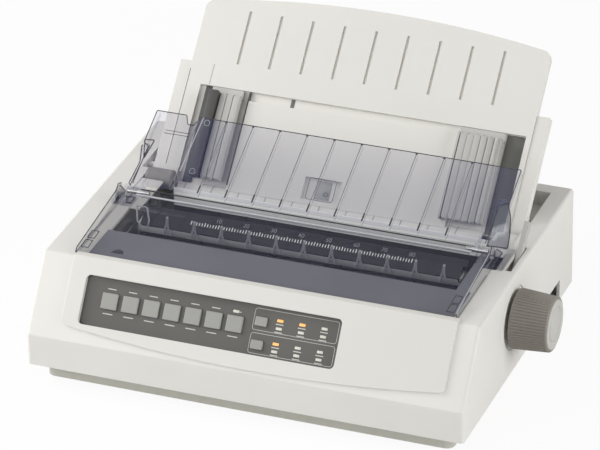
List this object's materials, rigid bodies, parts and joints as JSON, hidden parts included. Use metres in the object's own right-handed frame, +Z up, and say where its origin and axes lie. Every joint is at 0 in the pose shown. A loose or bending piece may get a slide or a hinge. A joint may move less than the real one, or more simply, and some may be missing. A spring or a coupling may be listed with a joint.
{
  "type": "dot matrix printer",
  "caption": "Desktop impact printer with a sloped control panel, tinted front cover and paper flap, a tilted paper separator with sheet guides, and a platen knob on the side.",
  "frame": {"origin": "middle of the whole footprint, knob and tilted separator included, on the table plane", "axes": "+X to the right as an operator sees it, towards the platen knob; +Y from the sloped control panel to the back; +Z up"},
  "size_m": [0.4342, 0.3404, 0.2335],
  "materials": {
    "shell_plastic": "fine-textured off-white moulded plastic",
    "base_plastic": "shaded warm grey moulded plastic",
    "bezel_plastic": "smooth off-white moulded plastic",
    "panel_plastic": "dark grey satin membrane",
    "button_plastic": "mid grey satin plastic",
    "light_lens": "pale diffusing lens",
    "dark_knob": "ribbed grey-brown plastic",
    "smoke_clear": "transparent blue-grey tinted plastic",
    "rubber_black": "matt black rubber",
    "plated_steel": "zinc-plated steel sheet",
    "bright_steel": "ground bright steel",
    "black_plastic": "matt black plastic",
    "grey_plastic": "grey moulded plastic",
    "white_plastic": "natural white moulded plastic",
    "cast_alloy": "cast alloy, matt",
    "circuit_green": "green lacquered circuit board",
    "dark_scale": "dark smoked strip with pale marks",
    "core_steel": "laminated steel with a dark coil"
  },
  "bodies": {
    "case_body": {"board_parts": "black_plastic", "carriage_motor": "bright_steel", "case_screws": "bright_steel", "control_bezel": "bezel_plastic", "control_panel": "panel_plastic", "front_rail": "plated_steel", "guide_rod": "bright_steel", "hinge_pins": "bright_steel", "hinge_stands": "smoke_clear", "line_feed_motor": "bright_steel", "lower_case": "base_plastic", "main_board": "circuit_green", "mechanism_tray": "plated_steel", "panel_board": "circuit_green", "panel_lights": "light_lens", "paper_pan": "plated_steel", "parallel_socket": "plated_steel", "platen_bushes": "white_plastic", "power_inlet": "black_plastic", "power_switch": "black_plastic", "rubber_feet": "rubber_black", "side_frame_left": "plated_steel", "side_frame_right": "plated_steel", "timing_belt": "rubber_black", "transformer": "core_steel", "upper_shell": "shell_plastic"},
    "front_cover_body": {"front_cover": "smoke_clear"},
    "rear_flap_body": {"rear_flap": "smoke_clear"},
    "separator_body": {"separator_panel": "shell_plastic", "separator_frame": "shell_plastic"},
    "left_guide_body": {"sheet_guide_left": "grey_plastic"},
    "right_guide_body": {"sheet_guide_right": "grey_plastic"},
    "paper_lever_body": {"paper_lever": "grey_plastic"},
    "platen_body": {"platen_core": "bright_steel", "platen_rubber": "rubber_black", "platen_knob": "dark_knob", "knob_cap": "shell_plastic", "platen_gear": "white_plastic"},
    "idler_gear_body": {"idler_gear": "white_plastic"},
    "motor_pinion_body": {"motor_pinion": "bright_steel"},
    "carriage_body": {"carriage": "black_plastic", "print_head": "cast_alloy", "ribbon_cartridge": "black_plastic"},
    "ribbon_knob_body": {"ribbon_knob": "grey_plastic"},
    "drive_pulley_body": {"drive_pulley": "white_plastic"},
    "idler_pulley_body": {"idler_pulley": "white_plastic"},
    "bail_body": {"bail_bar": "bright_steel", "bail_rollers": "rubber_black", "column_scale": "dark_scale"},
    "gap_lever_body": {"head_gap_lever": "grey_plastic"},
    "power_rocker_body": {"power_rocker": "black_plastic"},
    "button_1_body": {"button_1": "button_plastic"},
    "button_2_body": {"button_2": "button_plastic"},
    "button_3_body": {"button_3": "button_plastic"},
    "button_4_body": {"button_4": "button_plastic"},
    "button_5_body": {"button_5": "button_plastic"},
    "button_6_body": {"button_6": "button_plastic"},
    "button_7_body": {"button_7": "button_plastic"},
    "print_quality_body": {"print_quality_button": "button_plastic"},
    "character_pitch_body": {"character_pitch_button": "button_plastic"}
  },
  "joints": [
    {"name": "front_cover_hinge", "type": "hinge", "parent": "case_body", "child": "front_cover_body", "pos_m": [-0.01296, -0.02762, 0.12204], "axis": [-1, 0, 0], "range_deg": [0, 85]},
    {"name": "rear_flap_hinge", "type": "hinge", "parent": "case_body", "child": "rear_flap_body", "pos_m": [-0.01296, -0.02762, 0.12204], "axis": [1, 0, 0], "range_deg": [0, 35]},
    {"name": "separator_pivot", "type": "hinge", "parent": "case_body", "child": "separator_body", "pos_m": [-0.0135, 0.0565, 0.10349], "axis": [-1, 0, 0], "range_deg": [0, 36]},
    {"name": "left_guide_slide", "type": "slide", "parent": "separator_body", "child": "left_guide_body", "axis": [1, 0, 0], "range_m": [0, 0.032]},
    {"name": "right_guide_slide", "type": "slide", "parent": "separator_body", "child": "right_guide_body", "axis": [-1, 0, 0], "range_m": [0, 0.097]},
    {"name": "paper_lever_pivot", "type": "hinge", "parent": "case_body", "child": "paper_lever_body", "pos_m": [0.17172, -0.0287, 0.081], "axis": [1, 0, 0], "range_deg": [0, 37]},
    {"name": "platen_turn", "type": "hinge", "parent": "case_body", "child": "platen_body", "pos_m": [-0.01296, -0.03734, 0.06804], "axis": [1, 0, 0], "continuous": true},
    {"name": "idler_gear_turn", "type": "hinge", "parent": "case_body", "child": "idler_gear_body", "pos_m": [-0.1809, -0.00087, 0.04698], "axis": [1, 0, 0], "continuous": true},
    {"name": "motor_pinion_turn", "type": "hinge", "parent": "case_body", "child": "motor_pinion_body", "pos_m": [-0.1809, 0.02147, 0.04304], "axis": [1, 0, 0], "continuous": true},
    {"name": "carriage_travel", "type": "slide", "parent": "case_body", "child": "carriage_body", "axis": [1, 0, 0], "range_m": [0, 0.218]},
    {"name": "ribbon_knob_turn", "type": "hinge", "parent": "carriage_body", "child": "ribbon_knob_body", "pos_m": [-0.09504, -0.10322, 0.09072], "axis": [0, 0, 1], "continuous": true},
    {"name": "drive_pulley_turn", "type": "hinge", "parent": "case_body", "child": "drive_pulley_body", "pos_m": [-0.14904, -0.11618, 0.04374], "axis": [0, 0, -1], "range_deg": [0, 1300]},
    {"name": "idler_pulley_turn", "type": "hinge", "parent": "case_body", "child": "idler_pulley_body", "pos_m": [0.12312, -0.11618, 0.04374], "axis": [0, 0, -1], "range_deg": [0, 1300]},
    {"name": "bail_lift", "type": "hinge", "parent": "case_body", "child": "bail_body", "pos_m": [-0.01296, -0.01358, 0.08424], "axis": [-1, 0, 0], "range_deg": [0, 12]},
    {"name": "gap_lever_turn", "type": "hinge", "parent": "case_body", "child": "gap_lever_body", "pos_m": [-0.17366, -0.08378, 0.04104], "axis": [1, 0, 0], "range_deg": [-15, 15]},
    {"name": "power_rocker_turn", "type": "hinge", "parent": "case_body", "child": "power_rocker_body", "pos_m": [0.17118, 0.07066, 0.02862], "axis": [0, 0, -1], "range_deg": [0, 16]},
    {"name": "button_1_press", "type": "slide", "parent": "case_body", "child": "button_1_body", "axis": [0, 0.8155, -0.5788], "range_m": [0, 0.0012], "stiffness_N_per_m": 250},
    {"name": "button_2_press", "type": "slide", "parent": "case_body", "child": "button_2_body", "axis": [0, 0.8155, -0.5788], "range_m": [0, 0.0012], "stiffness_N_per_m": 250},
    {"name": "button_3_press", "type": "slide", "parent": "case_body", "child": "button_3_body", "axis": [0, 0.8155, -0.5788], "range_m": [0, 0.0012], "stiffness_N_per_m": 250},
    {"name": "button_4_press", "type": "slide", "parent": "case_body", "child": "button_4_body", "axis": [0, 0.8155, -0.5788], "range_m": [0, 0.0012], "stiffness_N_per_m": 250},
    {"name": "button_5_press", "type": "slide", "parent": "case_body", "child": "button_5_body", "axis": [0, 0.8155, -0.5788], "range_m": [0, 0.0012], "stiffness_N_per_m": 250},
    {"name": "button_6_press", "type": "slide", "parent": "case_body", "child": "button_6_body", "axis": [0, 0.8155, -0.5788], "range_m": [0, 0.0012], "stiffness_N_per_m": 250},
    {"name": "button_7_press", "type": "slide", "parent": "case_body", "child": "button_7_body", "axis": [0, 0.8155, -0.5788], "range_m": [0, 0.0012], "stiffness_N_per_m": 250},
    {"name": "print_quality_press", "type": "slide", "parent": "case_body", "child": "print_quality_body", "axis": [0, 0.8155, -0.5788], "range_m": [0, 0.0012], "stiffness_N_per_m": 250},
    {"name": "character_pitch_press", "type": "slide", "parent": "case_body", "child": "character_pitch_body", "axis": [0, 0.8155, -0.5788], "range_m": [0, 0.0012], "stiffness_N_per_m": 250}
  ],
  "couplings": [
    {"joint": "idler_gear_turn", "follows": "platen_turn", "ratio": -1.6},
    {"joint": "motor_pinion_turn", "follows": "platen_turn", "ratio": 4},
    {"joint": "drive_pulley_turn", "follows": "carriage_travel", "rad_per_m": 104.04},
    {"joint": "idler_pulley_turn", "follows": "carriage_travel", "rad_per_m": 104.04}
  ]
}
